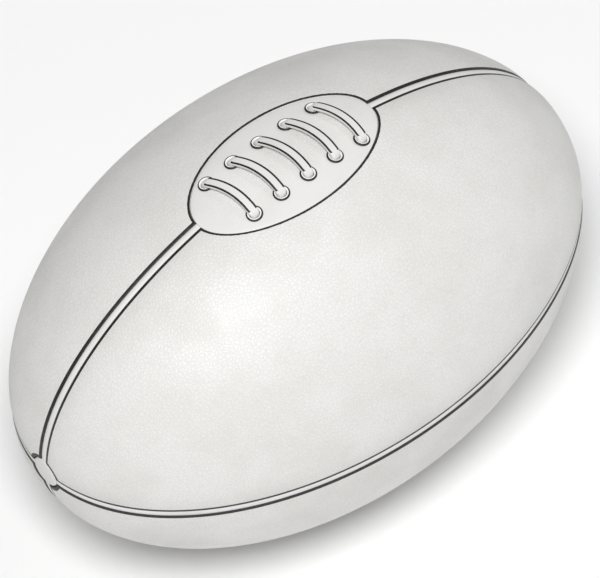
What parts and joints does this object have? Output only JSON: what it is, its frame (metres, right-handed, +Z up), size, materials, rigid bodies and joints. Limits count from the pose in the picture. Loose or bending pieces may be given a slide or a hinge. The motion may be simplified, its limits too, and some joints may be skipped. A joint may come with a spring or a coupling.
{
  "type": "rugby ball",
  "caption": "laced leather rugby ball of sewn panels with welted seams, lacing patch, eyelets, lace, end buttons, bladder and pull-out valve plug",
  "frame": {"origin": "middle of the flat that the ball lies on", "axes": "X along the ball from tip to tip, Z up through the lacing, the front seam towards -Y"},
  "size_m": [0.287, 0.19, 0.1925],
  "materials": {
    "panel_leather": "white grained leather, cut edges painted black",
    "welt_leather": "smooth white leather",
    "patch_leather": "smooth white leather",
    "lace_leather": "white leather thong, edges painted black",
    "button_leather": "smooth white leather",
    "inner_leather": "undyed, flesh side",
    "lining_cloth": "unbleached cotton canvas",
    "thread_cotton": "waxed thread",
    "bladder_rubber": "satin",
    "valve_rubber": "satin",
    "eyelet_enamel": "white enamel on brass, rim painted black"
  },
  "bodies": {
    "ball": {"upper_front_panel": "panel_leather", "upper_back_panel": "panel_leather", "lower_front_panel": "panel_leather", "lower_back_panel": "panel_leather", "upper_front_lining": "lining_cloth", "upper_back_lining": "lining_cloth", "lower_front_lining": "lining_cloth", "lower_back_lining": "lining_cloth", "top_left_welt": "welt_leather", "top_right_welt": "welt_leather", "front_welt": "welt_leather", "bottom_welt": "welt_leather", "back_welt": "welt_leather", "top_left_thread": "thread_cotton", "top_right_thread": "thread_cotton", "front_thread": "thread_cotton", "bottom_thread": "thread_cotton", "back_thread": "thread_cotton", "left_end_button": "button_leather", "right_end_button": "button_leather", "bladder": "bladder_rubber", "lacing_patch": "patch_leather", "slit_backing": "inner_leather", "tongue": "inner_leather", "eyelet_1": "eyelet_enamel", "eyelet_2": "eyelet_enamel", "eyelet_3": "eyelet_enamel", "eyelet_4": "eyelet_enamel", "eyelet_5": "eyelet_enamel", "eyelet_6": "eyelet_enamel", "eyelet_7": "eyelet_enamel", "eyelet_8": "eyelet_enamel", "eyelet_9": "eyelet_enamel", "eyelet_10": "eyelet_enamel", "lace": "lace_leather", "valve_housing": "valve_rubber"},
    "plug": {"valve_plug": "valve_rubber"}
  },
  "joints": [
    {"name": "valve_plug_slide", "type": "slide", "parent": "ball", "child": "plug", "axis": [0, 0.9272, 0.3746], "range_m": [0, 0.016]}
  ]
}
